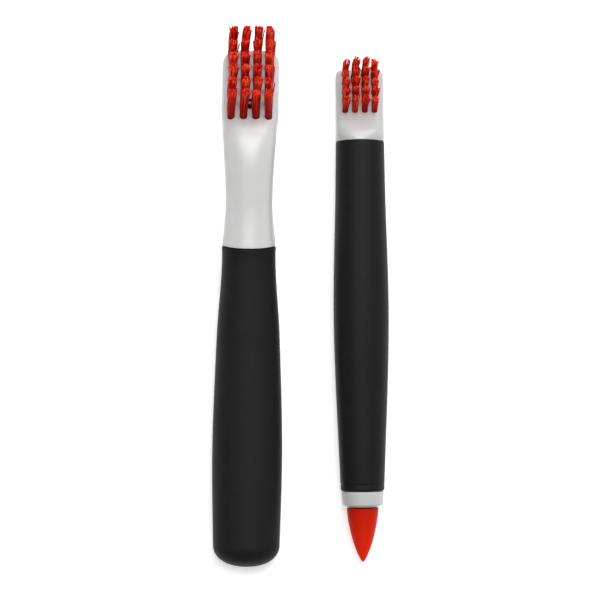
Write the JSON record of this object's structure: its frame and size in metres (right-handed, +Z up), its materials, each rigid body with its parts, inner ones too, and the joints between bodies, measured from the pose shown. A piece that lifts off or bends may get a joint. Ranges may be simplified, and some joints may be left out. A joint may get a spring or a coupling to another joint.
{
  "type": "club_groove_brush_set",
  "caption": "A set of two hand brushes for cleaning golf club grooves: a wide one with a closed rubber grip, and a slim one with a pointed groove pick in its end.",
  "frame": {"origin": "centre of the set's footprint, on the plane that both brushes lie on", "axes": "+X across the set, wide brush at -X and slim brush at +X; +Y along the brushes towards their heads; +Z up, the way the bristles point"},
  "size_m": [0.069, 0.2101, 0.0373],
  "materials": {
    "large_white_plastic": "satin",
    "large_black_rubber": "matte",
    "large_red_nylon": "satin",
    "small_white_plastic": "satin",
    "small_black_rubber": "matte",
    "pick_red": "satin",
    "small_red_nylon": "satin"
  },
  "bodies": {
    "large_brush": {"large_core": "large_white_plastic", "large_grip": "large_black_rubber", "large_tuft_r1_c1": "large_red_nylon", "large_tuft_r1_c2": "large_red_nylon", "large_tuft_r1_c3": "large_red_nylon", "large_tuft_r1_c4": "large_red_nylon", "large_tuft_r2_c1": "large_red_nylon", "large_tuft_r2_c2": "large_red_nylon", "large_tuft_r2_c3": "large_red_nylon", "large_tuft_r2_c4": "large_red_nylon", "large_tuft_r3_c1": "large_red_nylon", "large_tuft_r3_c2": "large_red_nylon", "large_tuft_r3_c3": "large_red_nylon", "large_tuft_r3_c4": "large_red_nylon", "large_tuft_r4_c1": "large_red_nylon", "large_tuft_r4_c2": "large_red_nylon", "large_tuft_r4_c3": "large_red_nylon", "large_tuft_r4_c4": "large_red_nylon", "large_tuft_r5_c1": "large_red_nylon", "large_tuft_r5_c2": "large_red_nylon", "large_tuft_r5_c3": "large_red_nylon", "large_tuft_r5_c4": "large_red_nylon", "large_tuft_r6_c1": "large_red_nylon", "large_tuft_r6_c2": "large_red_nylon", "large_tuft_r6_c3": "large_red_nylon", "large_tuft_r6_c4": "large_red_nylon"},
    "small_brush": {"small_core": "small_white_plastic", "small_grip": "small_black_rubber", "small_end_collar": "small_white_plastic", "small_pick_tip": "pick_red", "small_tuft_r1_c1": "small_red_nylon", "small_tuft_r1_c2": "small_red_nylon", "small_tuft_r1_c3": "small_red_nylon", "small_tuft_r1_c4": "small_red_nylon", "small_tuft_r2_c1": "small_red_nylon", "small_tuft_r2_c2": "small_red_nylon", "small_tuft_r2_c3": "small_red_nylon", "small_tuft_r2_c4": "small_red_nylon", "small_tuft_r3_c1": "small_red_nylon", "small_tuft_r3_c2": "small_red_nylon", "small_tuft_r3_c3": "small_red_nylon", "small_tuft_r3_c4": "small_red_nylon", "small_tuft_r4_c1": "small_red_nylon", "small_tuft_r4_c2": "small_red_nylon", "small_tuft_r4_c3": "small_red_nylon", "small_tuft_r4_c4": "small_red_nylon", "small_tuft_r5_c1": "small_red_nylon", "small_tuft_r5_c2": "small_red_nylon", "small_tuft_r5_c3": "small_red_nylon", "small_tuft_r5_c4": "small_red_nylon"}
  },
  "joints": [
    {"name": "small_brush_lift", "type": "slide", "parent": "large_brush", "child": "small_brush", "axis": [0, 0, 1], "range_m": [0, 0.15]}
  ]
}
